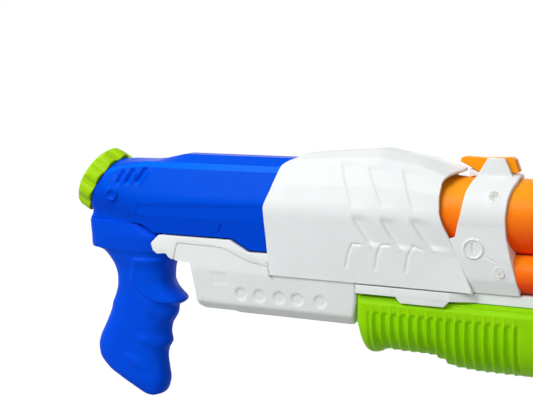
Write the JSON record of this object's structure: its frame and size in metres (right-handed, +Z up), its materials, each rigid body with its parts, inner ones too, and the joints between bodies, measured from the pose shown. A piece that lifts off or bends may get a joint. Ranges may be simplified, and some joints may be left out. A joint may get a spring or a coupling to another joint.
{
  "type": "water squirter",
  "caption": "Hand-pumped water squirter: water tank with a screw cap, pistol grip, barrel with lower tubes, and a ribbed sliding handle that works a piston pump.",
  "frame": {"origin": "bottom centre of the box that holds the part: below the middle of its length, at the level of the grip's lower end", "axes": "+X forward along the barrel towards the nozzles, +Y to the left, +Z up"},
  "size_m": [0.5746, 0.074, 0.2322],
  "materials": {
    "tank_blue": "blown, satin gloss",
    "grip_blue": "moulded, satin",
    "cap_lime": "moulded, satin",
    "pump_lime": "moulded, satin gloss",
    "shell_white": "moulded, satin",
    "frame_white": "moulded, satin",
    "barrel_orange": "moulded, satin gloss",
    "seal_rubber": "moulded, matt",
    "natural_plastic": "moulded, unpigmented",
    "hose_vinyl": "extruded, clear grey",
    "white_acetal": "moulded, smooth",
    "steel": "zinc plated"
  },
  "bodies": {
    "housing": {"tank_right": "tank_blue", "tank_left": "tank_blue", "filler_neck": "tank_blue", "grip_right": "grip_blue", "grip_left": "grip_blue", "shell_right": "shell_white", "shell_left": "shell_white", "band_right": "shell_white", "band_left": "shell_white", "muzzle_band": "shell_white", "frame_right": "frame_white", "frame_left": "frame_white", "lower_rail": "frame_white", "barrel_tube": "barrel_orange", "lower_tubes": "barrel_orange", "nozzle_plate": "barrel_orange", "nozzle_tips": "barrel_orange", "sight": "barrel_orange", "outlet_sleeve": "seal_rubber", "cylinder_gasket": "seal_rubber", "tank_outlet": "natural_plastic", "barrel_bulkhead": "natural_plastic", "feed_tube": "natural_plastic", "nozzle_manifold": "natural_plastic", "pump_cylinder": "natural_plastic", "valve_block": "natural_plastic", "outlet_fitting": "natural_plastic", "delivery_hose": "hose_vinyl", "rod_guide": "white_acetal", "band_screws": "white_acetal", "grip_screws": "steel", "frame_screws": "steel", "shell_screws": "steel", "sight_pin": "steel", "inlet_spring": "steel", "outlet_spring": "steel", "hose_clips": "steel"},
    "pump": {"piston_rod": "natural_plastic", "piston": "white_acetal", "piston_rings": "seal_rubber", "rod_nut": "steel", "pump_right": "pump_lime", "pump_left": "pump_lime", "pump_screws": "steel"},
    "seal_disc": {"cap_seal": "seal_rubber"},
    "cap": {"tank_cap": "cap_lime", "cap_vent": "seal_rubber"},
    "inlet_flap": {"inlet_valve": "seal_rubber"},
    "outlet_flap": {"outlet_valve": "seal_rubber"}
  },
  "joints": [
    {"name": "pump_slide", "type": "slide", "parent": "housing", "child": "pump", "axis": [1, 0, 0], "range_m": [0, 0.09]},
    {"name": "cap_lift", "type": "slide", "parent": "housing", "child": "seal_disc", "axis": [-0.866, 0, 0.5], "range_m": [0, 0.00555]},
    {"name": "cap_turn", "type": "hinge", "parent": "seal_disc", "child": "cap", "pos_m": [-0.2579, 0, 0.1898], "axis": [-0.866, 0, 0.5], "range_deg": [0, 400]},
    {"name": "inlet_valve_lift", "type": "slide", "parent": "housing", "child": "inlet_flap", "axis": [0, 0, -1], "range_m": [0, 0.0025], "stiffness_N_per_m": 50, "deforming": ["inlet_spring"]},
    {"name": "outlet_valve_lift", "type": "slide", "parent": "housing", "child": "outlet_flap", "axis": [0, 0, 1], "range_m": [0, 0.0025], "stiffness_N_per_m": 50, "deforming": ["outlet_spring"]}
  ],
  "couplings": [
    {"joint": "cap_turn", "follows": "cap_lift", "rad_per_m": 1256.6}
  ]
}
